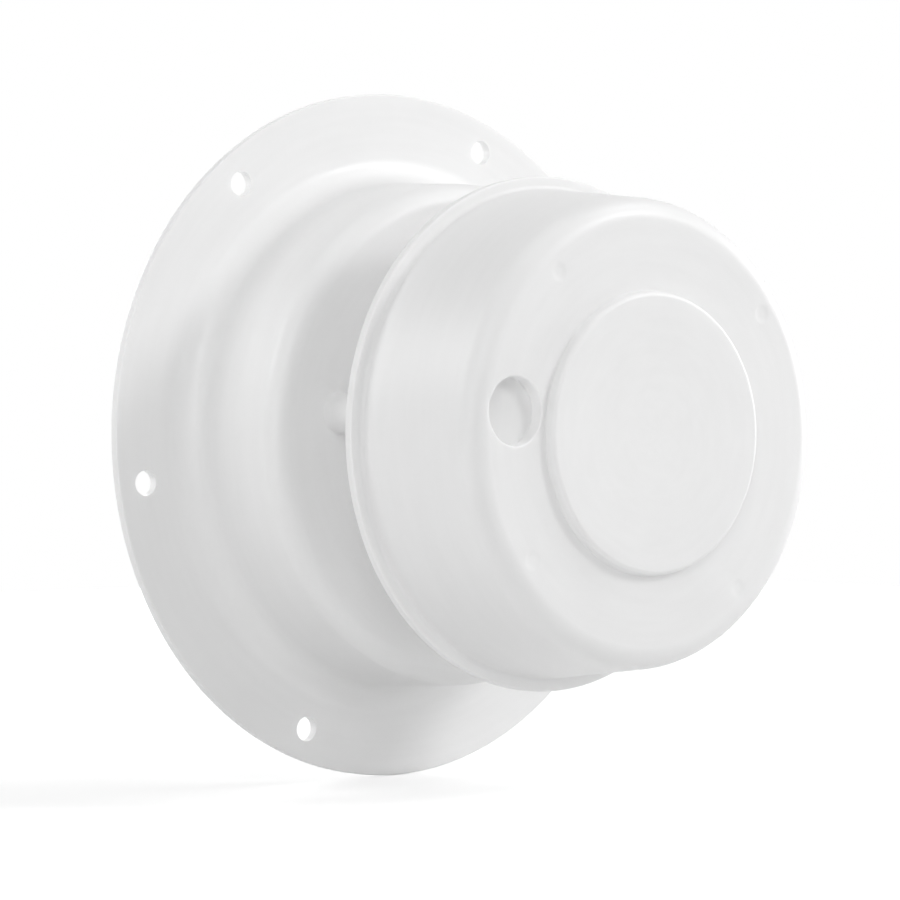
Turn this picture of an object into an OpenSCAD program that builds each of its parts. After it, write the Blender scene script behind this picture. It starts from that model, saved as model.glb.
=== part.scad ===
// Plumbing and attic vent for a flat roof: a flanged base with a raised hollow body,
// and a pull-off cap that stands above it on three posts.
// Millimetres, +Z up, origin at the centre of the flange's underside.

/* [Flange] */
// Outside diameter of the mounting flange
flange_d = 184; // [180:1:240]
// Thickness of the flange
flange_t = 2.5; // [2:0.1:4]
// Rounding of the flange's outer edge
flange_edge_r = 0.4; // [0.2:0.1:0.9]
// Number of screw holes
screw_count = 6; // [3:1:8]
// Diameter of each screw hole
screw_hole_d = 6.5; // [4:0.1:7]
// Distance from the flange's edge to the screw holes' centres
screw_edge = 8.2; // [5:0.1:9]
// Angle of the first screw hole, from +X
screw_angle = 8.6; // [0:0.1:60]

/* [Raised body] */
// Diameter of the raised body where its wall line meets the flange
body_foot_d = 136; // [128:0.5:144]
// Height of the body's flat top above the roof
body_h = 35; // [25:0.5:60]
// Draft of the body's wall, in degrees
body_draft = 3.5; // [1:0.5:8]
// Radius of the hollow curve between flange and wall
body_cove_r = 7.5; // [4:0.5:10]
// Radius of the rounded shoulder under the flat top
body_shoulder_r = 5.5; // [3.5:0.5:9]
// Wall thickness of the base
body_wall = 2.5; // [2:0.1:3.2]

/* [Pipe opening] */
// Outside diameter of the largest vent pipe
pipe_d = 60.3; // [40:0.1:62]
// Radial clearance round the pipe
pipe_clear = 0.4; // [0.2:0.1:0.5]
// Height of the collar that keeps rain out of the opening
collar_h = 6; // [2:0.5:15]
// Wall thickness of the collar
collar_wall = 2.2; // [1.5:0.1:3]

/* [Posts] */
// Number of posts that carry the cap
post_count = 3; // [3:1:4]
// Diameter of each post
post_d = 10.5; // [9.5:0.1:11]
// Distance of the posts from the axis
post_place_r = 45.3; // [44:0.1:46]
// Angle of the first post, the one under the cap's recess, from +X
post_angle = 173.4; // [0:0.1:360]
// Radius of the hollow corner at each post's foot
post_cove_r = 0.6; // [0.3:0.1:1.5]
// Diameter of the spigot on top of each post
spigot_d = 7.2; // [5:0.1:7.5]

/* [Cap] */
// Height of the open vent gap between the body's top and the cap's rim
vent_gap = 27.7; // [15:0.1:50]
// Height of the cap from its rim to its face
cap_h = 39.5; // [32:0.5:60]
// Outside diameter of the cap's rim
rim_d = 132.4; // [129:0.1:140]
// Thickness of the rim
rim_t = 2.5; // [1.5:0.1:4]
// Rounding of the rim's edges
rim_edge_r = 0.5; // [0.2:0.1:0.7]
// Diameter of the cap's wall where it leaves the rim
cap_foot_d = 125.8; // [124:0.1:128]
// Draft of the cap's wall, in degrees
cap_draft = 6.6; // [3:0.1:8]
// Radius of the hollow corner between rim and wall
cap_cove_r = 1.2; // [0.5:0.1:1.6]
// Radius of the cap's rounded front edge
cap_edge_r = 6; // [3:0.1:6.5]
// Wall thickness of the cap
cap_wall = 2.3; // [1.8:0.1:2.6]

/* [Raised disc] */
// Diameter of the plain raised disc on the cap's face
disc_d = 71; // [50:0.1:71.5]
// Height of the disc above the face
disc_h = 2.8; // [1:0.1:5]
// Draft of the disc's side, in degrees
disc_draft = 8; // [2:0.5:20]
// Rounding of the disc's edge
disc_edge_r = 1.2; // [0.3:0.1:1.5]
// Radius of the hollow corner at the disc's foot
disc_cove_r = 0.4; // [0.2:0.1:0.5]

/* [Recess and marks] */
// Diameter of the round recess above the first post
recess_d = 16.8; // [12:0.1:17]
// Depth of the recess
recess_depth = 3.6; // [1:0.1:6]
// Rounding of the recess's rim
recess_edge_r = 0.5; // [0.2:0.1:0.5]
// Number of shallow ejector marks on the face
mark_count = 4; // [2:1:6]
// Width of each ejector mark
mark_d = 5.5; // [2:0.1:5.5]
// Depth of each ejector mark
mark_depth = 0.3; // [0.05:0.01:0.3]
// Distance of the ejector marks from the axis
mark_place_r = 50; // [45:0.1:50]
// Angle of the first ejector mark, from +X
mark_angle = 38; // [20:0.5:40]

/* [Sockets and fit] */
// Length of each socket boss below the recess's floor
socket_depth = 12; // [8:0.5:20]
// Wall thickness of a socket boss
socket_wall = 2.5; // [1.8:0.1:3]
// Radial clearance of a spigot in its socket
socket_clear = 0.3; // [0.2:0.05:0.5]
// Gap between a post's shoulder and the boss that rests on it
seat_gap = 0.3; // [0.2:0.05:0.5]
// Gap above a spigot's end in its socket
end_gap = 1; // [0.5:0.1:2]

/* [Hidden] */
$fn = 96;
// How far a cut runs past the surface that it opens
past = 1;
// Smallest radius left inside a rounded corner
least_r = 0.3;

flange_r = flange_d / 2;
screw_place_r = flange_r - screw_edge;
body_foot_r = body_foot_d / 2;
pipe_hole_r = pipe_d / 2 + pipe_clear;
collar_top = body_h + collar_h;

rim_z = body_h + vent_gap;
rim_top = rim_z + rim_t;
rim_r = rim_d / 2;
cap_foot_r = cap_foot_d / 2;
face_z = rim_z + cap_h;
disc_top = face_z + disc_h;
disc_r = disc_d / 2;
disc_hollow_r = disc_r - disc_h * tan(disc_draft) - cap_wall;
recess_r = recess_d / 2;
recess_floor = face_z - recess_depth;

socket_top = recess_floor - cap_wall;
socket_end = socket_top - socket_depth;
socket_r = spigot_d / 2 + socket_clear;
post_top = socket_end - seat_gap;
spigot_top = socket_top - end_gap;

// Radius of the sphere whose cap is one ejector mark
mark_r = (pow(mark_d / 2, 2) + pow(mark_depth, 2)) / (2 * mark_depth);

// Half section of a raised step. Its wall line leaves the level foot_z at foot_r and leans in by
// draft up to top_z. The shoulder is rounded, the foot is coved, and the section reaches down to low.
module step_section(foot_r, foot_z, top_z, draft, shoulder_r, cove_r, low) {
    lean = tan(draft);
    shoulder = [foot_r - (top_z - shoulder_r - foot_z) * lean - shoulder_r / cos(draft),
                top_z - shoulder_r];
    cove = [foot_r - cove_r * lean + cove_r / cos(draft), foot_z + cove_r];
    out = [cos(draft), sin(draft)];
    difference() {
        polygon([[0, low], [0, top_z], [shoulder[0], top_z], shoulder + shoulder_r * out,
                 cove - cove_r * out, [cove[0], foot_z], [cove[0], low]]);
        translate(cove) circle(r = cove_r);
    }
    translate(shoulder) circle(r = shoulder_r);
}

// Half section of the space inside a step: the same wall line moved in by wall
module step_hollow(foot_r, foot_z, top_z, draft, shoulder_r, low, wall) {
    lean = tan(draft);
    in_r = max(shoulder_r - wall, least_r);
    in_top = top_z - wall;
    in_foot = foot_r + (foot_z - low) * lean - wall / cos(draft);
    shoulder = [in_foot - (in_top - in_r - low) * lean - in_r / cos(draft), in_top - in_r];
    polygon([[0, low], [0, in_top], [shoulder[0], in_top],
             shoulder + in_r * [cos(draft), sin(draft)], [in_foot, low]]);
    translate(shoulder) circle(r = in_r);
}

// Half section of a plate from the axis out to r, with a rounded edge
module plate_section(r, t, edge_r) {
    square([r - edge_r, t]);
    translate([0, edge_r]) square([r, t - 2 * edge_r]);
    for (z = [edge_r, t - edge_r]) translate([r - edge_r, z]) circle(r = edge_r);
}

// Half section of the base's shell: flange and raised body in one wall
module base_section() {
    in_foot = body_foot_r + flange_t * tan(body_draft) - body_wall / cos(body_draft);
    difference() {
        union() {
            plate_section(flange_r, flange_t, flange_edge_r);
            step_section(body_foot_r, flange_t, body_h, body_draft,
                         body_shoulder_r, body_cove_r, 0);
        }
        step_section(in_foot, 0, body_h - body_wall, body_draft,
                     max(body_shoulder_r - body_wall, least_r), body_cove_r + body_wall, -past);
    }
}

// Places its children at each post
module at_posts() {
    for (i = [0:post_count - 1])
        rotate(post_angle + i * 360 / post_count) translate([post_place_r, 0, 0]) children();
}

// One post, rooted half a wall deep in the body's top, with a coved foot and a spigot above
module post() {
    foot = body_h - body_wall / 2;
    post_r = post_d / 2;
    rotate_extrude() {
        translate([0, foot]) square([post_r, post_top - foot]);
        translate([0, foot]) square([spigot_d / 2, spigot_top - foot]);
        difference() {
            translate([0, foot]) square([post_r + post_cove_r, body_wall / 2 + post_cove_r]);
            translate([post_r + post_cove_r, body_h + post_cove_r]) circle(r = post_cove_r);
        }
    }
}

module base() {
    foot = body_h - body_wall / 2;
    color("white") {
        difference() {
            union() {
                rotate_extrude() base_section();
                translate([0, 0, foot])
                    cylinder(r = pipe_hole_r + collar_wall, h = collar_top - foot);
            }
            translate([0, 0, body_h - body_wall - past])
                cylinder(r = pipe_hole_r, h = collar_h + body_wall + 2 * past);
            for (i = [0:screw_count - 1])
                rotate(screw_angle + i * 360 / screw_count)
                    translate([screw_place_r, 0, -past])
                        cylinder(d = screw_hole_d, h = flange_t + 2 * past);
        }
        at_posts() post();
    }
}

// Half section of the cap's outside: rim, wall, face and raised disc
module cap_section() {
    translate([0, rim_z]) plate_section(rim_r, rim_t, rim_edge_r);
    step_section(cap_foot_r, rim_top, face_z, cap_draft, cap_edge_r, cap_cove_r, rim_z);
    step_section(disc_r, face_z, disc_top, disc_draft, disc_edge_r, disc_cove_r, rim_z);
}

// Half section of the cap's inside, with the hollow under the disc
module cap_hollow() {
    step_hollow(cap_foot_r, rim_top, face_z, cap_draft, cap_edge_r, rim_z - past, cap_wall);
    translate([0, rim_z]) square([disc_hollow_r, disc_top - cap_wall - rim_z]);
}

// The recess, measured down from the face, with a rounded rim
module recess_cut() {
    rotate_extrude() {
        translate([0, -recess_depth]) square([recess_r, recess_depth + past]);
        difference() {
            translate([0, -recess_edge_r]) square([recess_r + recess_edge_r, recess_edge_r + past]);
            translate([recess_r + recess_edge_r, -recess_edge_r]) circle(r = recess_edge_r);
        }
    }
}

// One ejector mark: a shallow dish in the face, no wider than it needs to be
module mark_cut() {
    intersection() {
        translate([0, 0, mark_r - mark_depth]) sphere(r = mark_r);
        translate([0, 0, -past]) cylinder(d = mark_d + past, h = 2 * past);
    }
}

module cap() {
    skin = face_z - cap_wall / 2;
    color("white")
        difference() {
            union() {
                difference() {
                    rotate_extrude() cap_section();
                    rotate_extrude() cap_hollow();
                }
                at_posts()
                    translate([0, 0, socket_end])
                        cylinder(r = socket_r + socket_wall, h = skin - socket_end);
                rotate(post_angle)
                    translate([post_place_r, 0, socket_top])
                        cylinder(r = recess_r + cap_wall, h = skin - socket_top);
            }
            at_posts()
                translate([0, 0, socket_end - past])
                    cylinder(r = socket_r, h = socket_depth + past);
            rotate(post_angle) translate([post_place_r, 0, face_z]) recess_cut();
            for (i = [0:mark_count - 1])
                rotate(mark_angle + i * 360 / mark_count)
                    translate([mark_place_r, 0, face_z]) mark_cut();
        }
}

base();
cap();
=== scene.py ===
import math

import bmesh
import bpy
from mathutils import Matrix, Vector


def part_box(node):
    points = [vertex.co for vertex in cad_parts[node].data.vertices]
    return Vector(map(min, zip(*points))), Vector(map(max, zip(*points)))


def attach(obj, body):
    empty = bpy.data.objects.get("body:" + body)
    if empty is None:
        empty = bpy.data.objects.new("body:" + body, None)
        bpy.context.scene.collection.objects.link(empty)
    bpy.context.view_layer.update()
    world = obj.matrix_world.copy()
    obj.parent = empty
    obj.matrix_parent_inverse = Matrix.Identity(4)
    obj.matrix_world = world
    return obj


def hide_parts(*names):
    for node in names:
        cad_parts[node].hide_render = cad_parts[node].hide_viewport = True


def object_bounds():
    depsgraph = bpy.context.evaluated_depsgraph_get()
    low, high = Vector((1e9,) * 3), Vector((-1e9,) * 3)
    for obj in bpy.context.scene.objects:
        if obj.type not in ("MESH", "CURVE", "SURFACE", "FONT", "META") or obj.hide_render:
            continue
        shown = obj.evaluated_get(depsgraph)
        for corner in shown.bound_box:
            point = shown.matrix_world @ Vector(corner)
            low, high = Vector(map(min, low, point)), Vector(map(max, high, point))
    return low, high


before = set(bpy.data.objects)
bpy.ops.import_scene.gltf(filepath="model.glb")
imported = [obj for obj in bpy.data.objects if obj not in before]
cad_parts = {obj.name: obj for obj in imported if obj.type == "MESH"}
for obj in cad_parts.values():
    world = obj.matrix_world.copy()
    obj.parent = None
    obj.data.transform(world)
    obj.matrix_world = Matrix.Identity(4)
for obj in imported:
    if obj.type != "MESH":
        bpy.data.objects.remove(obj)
cad_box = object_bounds()
base_low, base_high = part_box("base")
cap_low, cap_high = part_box("cap")

# Camera: seen from the side of the recess, with the vent's axis lying level in the picture
IMAGE_WIDTH = 900
FOCAL_PIXELS = 3536
SENSOR_WIDTH = 36.0
VIEW_ANGLE = math.radians(40.57)
VIEW_DISTANCE = 0.959
VIEW_RIGHT = 0.0164
VIEW_UP = -0.0041

# Stage
FLOOR_HALF = 1.1
FLOOR_DROP = 0.0002
FLOOR_COLOUR = (0.80, 0.80, 0.80, 1.0)
FLOOR_GLOW = 0.43
WORLD_LEVEL = 0.20

# Lamps: name, turn from +Z towards +X and rise towards +Y in degrees, side in metres, watts
LAMP_DISTANCE = 1.6
LAMPS = [
    ("key", 40.0, 30.0, 0.35, 6.9),
    ("fill", -60.0, 8.0, 0.8, 5.0),
    ("fill_high", -45.0, 30.0, 0.3, 2.5),
    ("side", -120.0, 30.0, 0.6, 5.6),
    ("right", 80.0, 10.0, 0.6, 6.9),
    ("right_high", 60.0, 52.0, 0.6, 4.6),
    ("back", 160.0, 10.0, 0.6, 12.6),
    ("top", 0.0, 74.0, 0.8, 1.9),
]

# Fineness of the turned meshes
SIDES = 360
HOLE_SIDES = 72
ARC_STEP = math.radians(6.0)
SHARP_ANGLE = math.radians(35.0)
BOWL_STEPS = 8
# How far a cove or a rounded rim passes the face that it meets, so that it crosses it cleanly
HAIR = 0.00001
# How far a cutter passes the face that it opens
PAST = 0.001

# Base, in metres
FLANGE_R = base_high.x
FLANGE_T = 0.0025
FLANGE_EDGE = 0.0004
SCREW_HOLE_R = 0.00325
SCREW_PLACE_R = FLANGE_R - 0.0082
SCREW_ANGLE = math.radians(8.6)
SCREW_COUNT = 6
BODY_FOOT_R = 0.068
BODY_H = 0.035
BODY_LEAN = math.tan(math.radians(3.5))
BODY_COVE = 0.0075
BODY_SHOULDER = 0.0055
BODY_WALL = 0.0025
PIPE_HOLE_R = 0.03055
COLLAR_R = PIPE_HOLE_R + 0.0022
COLLAR_TOP = BODY_H + 0.006
SMALL_EDGE = 0.0003
POST_R = 0.00525
POST_PLACE_R = 0.0453
POST_ANGLE = math.radians(173.4)
POST_COUNT = 3
POST_COVE = 0.0006
SPIGOT_R = 0.0036
SPIGOT_TOP = base_high.z

# Cap, in metres
RIM_R = 0.0662
RIM_Z = cap_low.z
RIM_TOP = RIM_Z + 0.0025
RIM_EDGE = 0.0005
CAP_FOOT_R = 0.0629
CAP_COVE = 0.0012
CAP_LEAN = math.tan(math.radians(6.6))
CAP_EDGE = 0.006
CAP_WALL = 0.0023
DISC_TOP = cap_high.z
DISC_H = 0.0028
DISC_R = 0.0355
DISC_LEAN = math.tan(math.radians(8.0))
DISC_EDGE = 0.0012
DISC_COVE = 0.0004
FACE_Z = DISC_TOP - DISC_H
RECESS_R = 0.0084
RECESS_FLOOR = FACE_Z - 0.0036
RECESS_EDGE = 0.0005
MARK_PLACE_R = 0.05
MARK_ANGLE = math.radians(38.0)
MARK_COUNT = 4
MARK_HALF = 0.00275
MARK_DEPTH = 0.0003
SOCKET_TOP = RECESS_FLOOR - CAP_WALL
SOCKET_END = SOCKET_TOP - 0.012
SOCKET_R = SPIGOT_R + 0.0003
BOSS_R = SOCKET_R + 0.0025
POST_TOP = SOCKET_END - 0.0003

# Plastic. The roughness stays above 0.31 everywhere: below that, the light that sinks in turns blotchy
PLASTIC_DARKEST = 0.89
PLASTIC_LIGHTEST = 0.91
PLASTIC_ROUGHNESS = 0.40
PLASTIC_DEPTH = 0.0016
PLASTIC_IOR = 1.49
CLOUDS_PER_METRE = 14.0
BLOTCHES_PER_METRE = 45.0
BLOTCH_GLOSS = 0.03
STREAKS_PER_METRE = 500.0
STREAKS_AROUND = 2.5
STREAK_GREY = 0.008
STREAK_GLOSS = 0.05
PEEL_PER_METRE = 900.0
PEEL_STRENGTH = 0.06
PEEL_HEIGHT = 0.0002


def rounded(corners, closed=False):
    """Points of an outline whose corners, (radius, height) or (radius, height, rounding), become arcs."""
    places = [Vector(corner[:2]) for corner in corners]
    points = []
    for i, corner in enumerate(corners):
        here = places[i]
        open_end = not closed and i in (0, len(corners) - 1)
        if len(corner) < 3 or open_end:
            points.append(here)
            continue
        back = (places[i - 1] - here).normalized()
        ahead = (places[(i + 1) % len(places)] - here).normalized()
        half = back.angle(ahead) / 2
        turn = math.pi - 2 * half
        centre = here + (back + ahead).normalized() * corner[2] / math.sin(half)
        start = here + back * corner[2] / math.tan(half) - centre
        side = 1 if back.x * ahead.y - back.y * ahead.x < 0 else -1
        steps = max(2, math.ceil(turn / ARC_STEP))
        for k in range(steps + 1):
            angle = side * turn * k / steps
            cos, sin = math.cos(angle), math.sin(angle)
            points.append(centre + Vector((start.x * cos - start.y * sin, start.x * sin + start.y * cos)))
    return points


def turned(name, points, closed=False, sides=SIDES, places=((0.0, 0.0),)):
    """An object made by turning an outline about a vertical axis, once at each place.

    An outline that isn't closed ends in level faces across the axis. Its points on the axis are left out.
    """
    mesh = bpy.data.meshes.new(name)
    work = bmesh.new()
    angles = [2 * math.pi * k / sides for k in range(sides)]
    for x, y in places:
        rings = [[work.verts.new((x + radius * math.cos(a), y + radius * math.sin(a), height))
                  for a in angles]
                 for radius, height in points if radius > HAIR]
        pairs = list(zip(rings, rings[1:]))
        if closed:
            pairs.append((rings[-1], rings[0]))
        else:
            work.faces.new(rings[0])
            work.faces.new(rings[-1])
        for low, high in pairs:
            for k in range(sides):
                n = (k + 1) % sides
                work.faces.new((low[k], low[n], high[n], high[k]))
    bmesh.ops.recalc_face_normals(work, faces=work.faces)
    work.to_mesh(mesh)
    work.free()
    piece = bpy.data.objects.new(name, mesh)
    bpy.context.scene.collection.objects.link(piece)
    return piece


def settle(piece):
    """Applies a piece's modifiers, so that it is a plain mesh."""
    view = bpy.context.evaluated_depsgraph_get()
    mesh = bpy.data.meshes.new_from_object(piece.evaluated_get(view))
    piece.modifiers.clear()
    piece.data = mesh


def combine(piece, other, operation):
    """Joins another solid to a piece (UNION) or cuts it out (DIFFERENCE), and deletes the other."""
    step = piece.modifiers.new("combine", "BOOLEAN")
    step.operation = operation
    step.solver = "EXACT"
    step.object = other
    settle(piece)
    bpy.data.objects.remove(other)


def smooth(piece):
    """Smooth shading with sharp edges where faces meet at an angle, and flats that stay flat."""
    piece.data.shade_smooth()
    piece.data.set_sharp_from_angle(angle=SHARP_ANGLE)
    weigh = piece.modifiers.new("weigh", "WEIGHTED_NORMAL")
    weigh.keep_sharp = True
    settle(piece)


def ring_of(count, first_angle, radius):
    """Places evenly spaced on a circle round the axis."""
    angles = [first_angle + 2 * math.pi * i / count for i in range(count)]
    return [(radius * math.cos(a), radius * math.sin(a)) for a in angles]


def make_base():
    """The base: flange, raised body, pipe opening with its collar, and three posts."""
    top_r = BODY_FOOT_R - (BODY_H - FLANGE_T) * BODY_LEAN
    thick = BODY_WALL * math.hypot(1.0, BODY_LEAN)
    in_foot_r = BODY_FOOT_R + FLANGE_T * BODY_LEAN - thick
    in_top = BODY_H - BODY_WALL
    in_top_r = in_foot_r - in_top * BODY_LEAN
    shell = turned("base_shell", rounded([
        (FLANGE_R, 0.0, FLANGE_EDGE),
        (FLANGE_R, FLANGE_T, FLANGE_EDGE),
        (BODY_FOOT_R, FLANGE_T, BODY_COVE),
        (top_r, BODY_H, BODY_SHOULDER),
        (COLLAR_R, BODY_H, SMALL_EDGE),
        (COLLAR_R, COLLAR_TOP, SMALL_EDGE),
        (PIPE_HOLE_R, COLLAR_TOP, SMALL_EDGE),
        (PIPE_HOLE_R, in_top, SMALL_EDGE),
        (in_top_r, in_top, BODY_SHOULDER - BODY_WALL),
        (in_foot_r, 0.0, BODY_COVE + BODY_WALL),
    ], closed=True), closed=True)
    holes = turned("holes", [
        (0.0, FLANGE_T + PAST),
        (SCREW_HOLE_R, FLANGE_T + PAST),
        (SCREW_HOLE_R, -PAST),
        (0.0, -PAST),
    ], sides=HOLE_SIDES, places=ring_of(SCREW_COUNT, SCREW_ANGLE, SCREW_PLACE_R))
    combine(shell, holes, "DIFFERENCE")
    root = BODY_H - BODY_WALL / 2
    posts = turned("posts", rounded([
        (0.0, root),
        (POST_R + 2 * POST_COVE, root),
        (POST_R + 2 * POST_COVE, BODY_H - HAIR),
        (POST_R, BODY_H - HAIR, POST_COVE),
        (POST_R, POST_TOP, SMALL_EDGE),
        (SPIGOT_R, POST_TOP),
        (SPIGOT_R, SPIGOT_TOP, SMALL_EDGE),
        (0.0, SPIGOT_TOP),
    ]), sides=HOLE_SIDES, places=ring_of(POST_COUNT, POST_ANGLE, POST_PLACE_R))
    combine(shell, posts, "UNION")
    smooth(shell)
    return shell


def make_cap():
    """The cap: rim, wall, face with its raised disc, recess and marks, and the sockets inside."""
    wall_top_r = CAP_FOOT_R - (FACE_Z - RIM_TOP) * CAP_LEAN
    disc_top_r = DISC_R - DISC_H * DISC_LEAN
    thick = CAP_WALL * math.hypot(1.0, CAP_LEAN)
    in_foot_r = CAP_FOOT_R + (RIM_TOP - RIM_Z) * CAP_LEAN - thick
    in_top = FACE_Z - CAP_WALL
    in_top_r = in_foot_r - (in_top - RIM_Z) * CAP_LEAN
    hollow_r = disc_top_r - CAP_WALL
    shell = turned("cap_shell", rounded([
        (0.0, DISC_TOP),
        (disc_top_r, DISC_TOP, DISC_EDGE),
        (DISC_R, FACE_Z, DISC_COVE),
        (wall_top_r, FACE_Z, CAP_EDGE),
        (CAP_FOOT_R, RIM_TOP, CAP_COVE),
        (RIM_R, RIM_TOP, RIM_EDGE),
        (RIM_R, RIM_Z, RIM_EDGE),
        (in_foot_r, RIM_Z, SMALL_EDGE),
        (in_top_r, in_top, CAP_EDGE - CAP_WALL),
        (hollow_r, in_top, SMALL_EDGE),
        (hollow_r, DISC_TOP - CAP_WALL, SMALL_EDGE),
        (0.0, DISC_TOP - CAP_WALL),
    ]))
    posts = ring_of(POST_COUNT, POST_ANGLE, POST_PLACE_R)
    skin = FACE_Z - CAP_WALL / 2
    for name, places, radius, low in (("bosses", posts, BOSS_R, SOCKET_END),
                                      ("recess_boss", posts[:1], RECESS_R + CAP_WALL, SOCKET_TOP)):
        boss = turned(name, [(0.0, skin), (radius, skin), (radius, low), (0.0, low)],
                      sides=HOLE_SIDES, places=places)
        combine(shell, boss, "UNION")
    sockets = turned("sockets", [(0.0, SOCKET_TOP), (SOCKET_R, SOCKET_TOP),
                                 (SOCKET_R, SOCKET_END - PAST), (0.0, SOCKET_END - PAST)],
                     sides=HOLE_SIDES, places=posts)
    combine(shell, sockets, "DIFFERENCE")
    recess = turned("recess", rounded([
        (0.0, FACE_Z + PAST),
        (RECESS_R + 2 * RECESS_EDGE, FACE_Z + PAST),
        (RECESS_R + 2 * RECESS_EDGE, FACE_Z + HAIR),
        (RECESS_R, FACE_Z + HAIR, RECESS_EDGE),
        (RECESS_R, RECESS_FLOOR, SMALL_EDGE),
        (0.0, RECESS_FLOOR),
    ]), sides=2 * HOLE_SIDES, places=posts[:1])
    combine(shell, recess, "DIFFERENCE")
    ball_r = (MARK_HALF ** 2 + MARK_DEPTH ** 2) / (2 * MARK_DEPTH)
    reach = math.asin(2 * MARK_HALF / ball_r)
    turns = [reach * k / BOWL_STEPS for k in range(BOWL_STEPS + 1)]
    bowl = [(ball_r * math.sin(a), FACE_Z - MARK_DEPTH + ball_r * (1 - math.cos(a))) for a in turns]
    marks = turned("marks", bowl + [(0.0, bowl[-1][1])], sides=HOLE_SIDES,
                   places=ring_of(MARK_COUNT, MARK_ANGLE, MARK_PLACE_R))
    combine(shell, marks, "DIFFERENCE")
    smooth(shell)
    return shell


def new_material(name):
    """An empty node material and its node tree."""
    material = bpy.data.materials.new(name)
    material.use_nodes = True
    material.node_tree.nodes.clear()
    return material, material.node_tree


def add_node(tree, kind, inputs=None, **settings):
    """Adds a node, sets its properties, and gives the named or numbered sockets their values."""
    node = tree.nodes.new(kind)
    for key, value in settings.items():
        setattr(node, key, value)
    for key, value in (inputs or {}).items():
        node.inputs[key].default_value = value
    return node


def noise(tree, coordinates, scale, detail):
    """A noise texture on the object's own coordinates; returns its grey output."""
    texture = add_node(tree, "ShaderNodeTexNoise", {"Scale": scale, "Detail": detail})
    tree.links.new(coordinates, texture.inputs["Vector"])
    return texture.outputs["Fac"]


def spread(tree, value, low, high):
    """Maps a noise, which stays mostly between 0.3 and 0.7, to the span from low to high."""
    span = add_node(tree, "ShaderNodeMapRange", {
        "From Min": 0.3,
        "From Max": 0.7,
        "To Min": low,
        "To Max": high,
    })
    tree.links.new(value, span.inputs["Value"])
    return span.outputs["Result"]


def round_streaks(tree, place):
    """Fine streaks that run round the axis on level faces and walls alike; returns a grey output."""
    link = tree.links.new
    parts = add_node(tree, "ShaderNodeSeparateXYZ")
    link(place, parts.inputs["Vector"])
    level = add_node(tree, "ShaderNodeVectorMath", {1: (1.0, 1.0, 0.0)}, operation="MULTIPLY")
    link(place, level.inputs[0])
    radius = add_node(tree, "ShaderNodeVectorMath", operation="LENGTH")
    link(level.outputs["Vector"], radius.inputs[0])
    across = add_node(tree, "ShaderNodeMath", operation="ADD")
    link(radius.outputs["Value"], across.inputs[0])
    link(parts.outputs["Z"], across.inputs[1])
    fine = add_node(tree, "ShaderNodeMath", {1: STREAKS_PER_METRE}, operation="MULTIPLY")
    link(across.outputs["Value"], fine.inputs[0])
    around = add_node(tree, "ShaderNodeVectorMath", operation="NORMALIZE")
    link(level.outputs["Vector"], around.inputs[0])
    slow = add_node(tree, "ShaderNodeVectorMath", {"Scale": STREAKS_AROUND}, operation="SCALE")
    link(around.outputs["Vector"], slow.inputs[0])
    rise = add_node(tree, "ShaderNodeCombineXYZ")
    link(fine.outputs["Value"], rise.inputs["Z"])
    both = add_node(tree, "ShaderNodeVectorMath", operation="ADD")
    link(slow.outputs["Vector"], both.inputs[0])
    link(rise.outputs["Vector"], both.inputs[1])
    return noise(tree, both.outputs["Vector"], 1.0, 3.0)


def sum_of(tree, first, second):
    """Adds two grey outputs."""
    add = add_node(tree, "ShaderNodeMath", operation="ADD")
    tree.links.new(first, add.inputs[0])
    tree.links.new(second, add.inputs[1])
    return add.outputs["Value"]


def moulded_plastic(name):
    """White moulded plastic: light sinks in a little, and its satin gloss has streaks and fine peel."""
    material, tree = new_material(name)
    link = tree.links.new
    output = add_node(tree, "ShaderNodeOutputMaterial")
    shader = add_node(tree, "ShaderNodeBsdfPrincipled", {
        "Subsurface Weight": 1.0,
        "Subsurface Radius": (1.0, 1.0, 1.0),
        "Subsurface Scale": PLASTIC_DEPTH,
        "IOR": PLASTIC_IOR,
    })
    place = add_node(tree, "ShaderNodeTexCoord").outputs["Object"]
    streaks = round_streaks(tree, place)
    clouds = spread(tree, noise(tree, place, CLOUDS_PER_METRE, 3.0), PLASTIC_DARKEST, PLASTIC_LIGHTEST)
    streak_grey = spread(tree, streaks, -STREAK_GREY, STREAK_GREY)
    link(sum_of(tree, clouds, streak_grey), shader.inputs["Base Color"])
    blotches = spread(tree, noise(tree, place, BLOTCHES_PER_METRE, 3.0),
                      PLASTIC_ROUGHNESS - BLOTCH_GLOSS, PLASTIC_ROUGHNESS + BLOTCH_GLOSS)
    streak_gloss = spread(tree, streaks, -STREAK_GLOSS, STREAK_GLOSS)
    link(sum_of(tree, blotches, streak_gloss), shader.inputs["Roughness"])
    bump = add_node(tree, "ShaderNodeBump", {"Strength": PEEL_STRENGTH, "Distance": PEEL_HEIGHT})
    link(noise(tree, place, PEEL_PER_METRE, 2.0), bump.inputs["Height"])
    link(bump.outputs["Normal"], shader.inputs["Normal"])
    link(shader.outputs["BSDF"], output.inputs["Surface"])
    return material


def dress(piece, node_name, material):
    """Puts a finished piece in the place of its CAD node, with its material."""
    piece.data.materials.clear()
    piece.data.materials.append(material)
    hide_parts(node_name)
    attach(piece, node_name)


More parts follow.
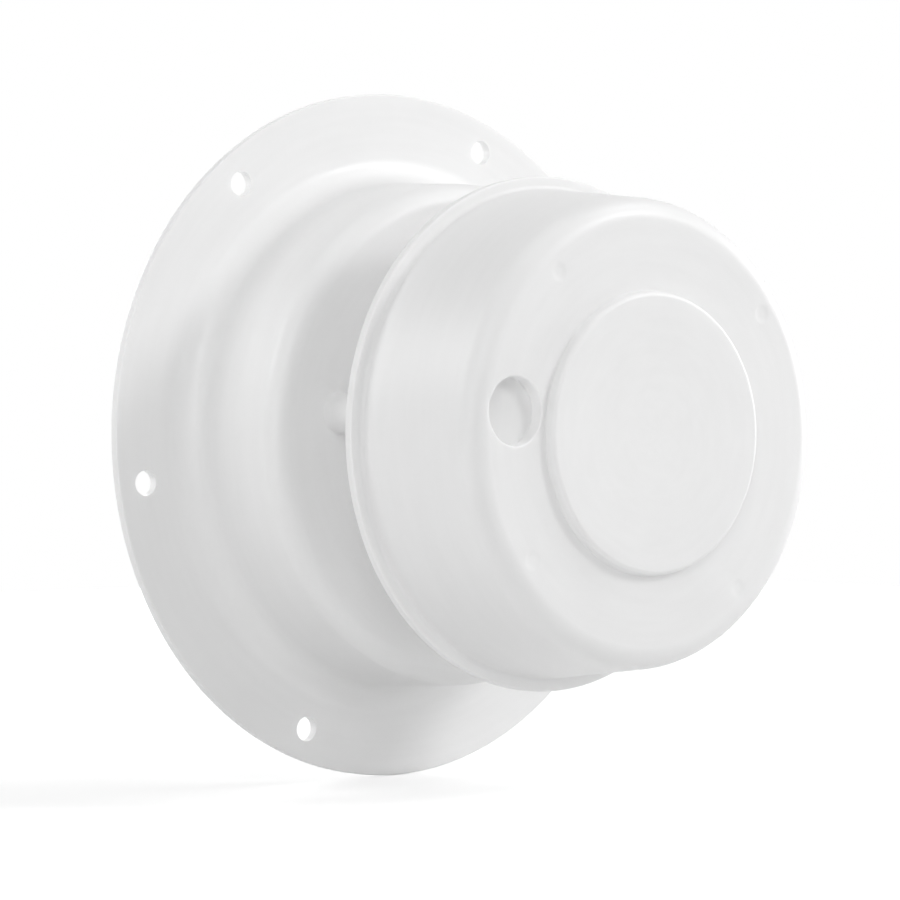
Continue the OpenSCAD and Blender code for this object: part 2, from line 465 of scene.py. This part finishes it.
def seen_directly(tree):
    """A factor that is 1 for camera, glossy and transmission rays and 0 for all others."""
    rays = add_node(tree, "ShaderNodeLightPath")
    glossy = add_node(tree, "ShaderNodeMath", operation="MAXIMUM")
    either = add_node(tree, "ShaderNodeMath", operation="MAXIMUM")
    tree.links.new(rays.outputs["Is Camera Ray"], glossy.inputs[0])
    tree.links.new(rays.outputs["Is Glossy Ray"], glossy.inputs[1])
    tree.links.new(glossy.outputs[0], either.inputs[0])
    tree.links.new(rays.outputs["Is Transmission Ray"], either.inputs[1])
    return either.outputs[0]


def make_floor():
    """A wide white floor under the vent, which stands on its flange's edge. It is clear from below."""
    mesh = bpy.data.meshes.new("floor")
    s = FLOOR_HALF
    y = -FLANGE_R - FLOOR_DROP
    mesh.from_pydata([(-s, y, -s), (-s, y, s), (s, y, s), (s, y, -s)], [], [(0, 1, 2, 3)])
    floor = bpy.data.objects.new("floor", mesh)
    bpy.context.scene.collection.objects.link(floor)
    material, tree = new_material("floor_white")
    link = tree.links.new
    output = add_node(tree, "ShaderNodeOutputMaterial")
    paint = add_node(tree, "ShaderNodeBsdfDiffuse", {"Color": FLOOR_COLOUR})
    glow = add_node(tree, "ShaderNodeEmission")
    level = add_node(tree, "ShaderNodeMath", {1: FLOOR_GLOW}, operation="MULTIPLY")
    both = add_node(tree, "ShaderNodeAddShader")
    sides = add_node(tree, "ShaderNodeNewGeometry")
    clear = add_node(tree, "ShaderNodeBsdfTransparent")
    either = add_node(tree, "ShaderNodeMixShader")
    link(seen_directly(tree), level.inputs[0])
    link(level.outputs[0], glow.inputs["Strength"])
    link(paint.outputs["BSDF"], both.inputs[0])
    link(glow.outputs["Emission"], both.inputs[1])
    link(sides.outputs["Backfacing"], either.inputs["Fac"])
    link(both.outputs["Shader"], either.inputs[1])
    link(clear.outputs["BSDF"], either.inputs[2])
    link(either.outputs["Shader"], output.inputs["Surface"])
    mesh.materials.append(material)


def make_world():
    """Even light from all round, and plain white where the camera sees past the floor."""
    world = bpy.data.worlds.new("surroundings")
    world.use_nodes = True
    tree = world.node_tree
    tree.nodes.clear()
    output = add_node(tree, "ShaderNodeOutputWorld")
    back = add_node(tree, "ShaderNodeBackground", {"Color": (1.0, 1.0, 1.0, 1.0)})
    level = add_node(tree, "ShaderNodeMapRange", {"To Min": WORLD_LEVEL, "To Max": 1.0})
    tree.links.new(seen_directly(tree), level.inputs["Value"])
    tree.links.new(level.outputs["Result"], back.inputs["Strength"])
    tree.links.new(back.outputs["Background"], output.inputs["Surface"])
    bpy.context.scene.world = world


def add_lamp(name, turn, rise, side, watts):
    """A square soft lamp that looks at the middle of the vent."""
    data = bpy.data.lights.new(name, "AREA")
    data.size = side
    data.energy = watts
    lamp = bpy.data.objects.new(name, data)
    turn, rise = math.radians(turn), math.radians(rise)
    away = Vector((math.cos(rise) * math.sin(turn), math.sin(rise), math.cos(rise) * math.cos(turn)))
    middle = (cad_box[0] + cad_box[1]) / 2
    lamp.location = middle + LAMP_DISTANCE * away
    lamp.rotation_euler = away.to_track_quat("Z", "Y").to_euler()
    bpy.context.scene.collection.objects.link(lamp)


def make_camera():
    """The reference view. The picture's up is +Y, so the camera is rolled on its side."""
    data = bpy.data.cameras.new("camera")
    data.sensor_width = SENSOR_WIDTH
    data.lens = SENSOR_WIDTH * FOCAL_PIXELS / IMAGE_WIDTH
    right = Vector((math.cos(VIEW_ANGLE), 0.0, math.sin(VIEW_ANGLE)))
    up = Vector((0.0, 1.0, 0.0))
    back = Vector((-math.sin(VIEW_ANGLE), 0.0, math.cos(VIEW_ANGLE)))
    camera = bpy.data.objects.new("camera", data)
    place = VIEW_RIGHT * right + VIEW_UP * up + VIEW_DISTANCE * back
    camera.matrix_world = Matrix.Translation(place) @ Matrix((right, up, back)).transposed().to_4x4()
    bpy.context.scene.collection.objects.link(camera)
    bpy.context.scene.camera = camera


make_camera()
make_floor()
make_world()
for lamp in LAMPS:
    add_lamp(*lamp)
dress(make_base(), "base", moulded_plastic("base_plastic"))
dress(make_cap(), "cap", moulded_plastic("cap_plastic"))
bpy.context.scene.view_settings.view_transform = "Standard"
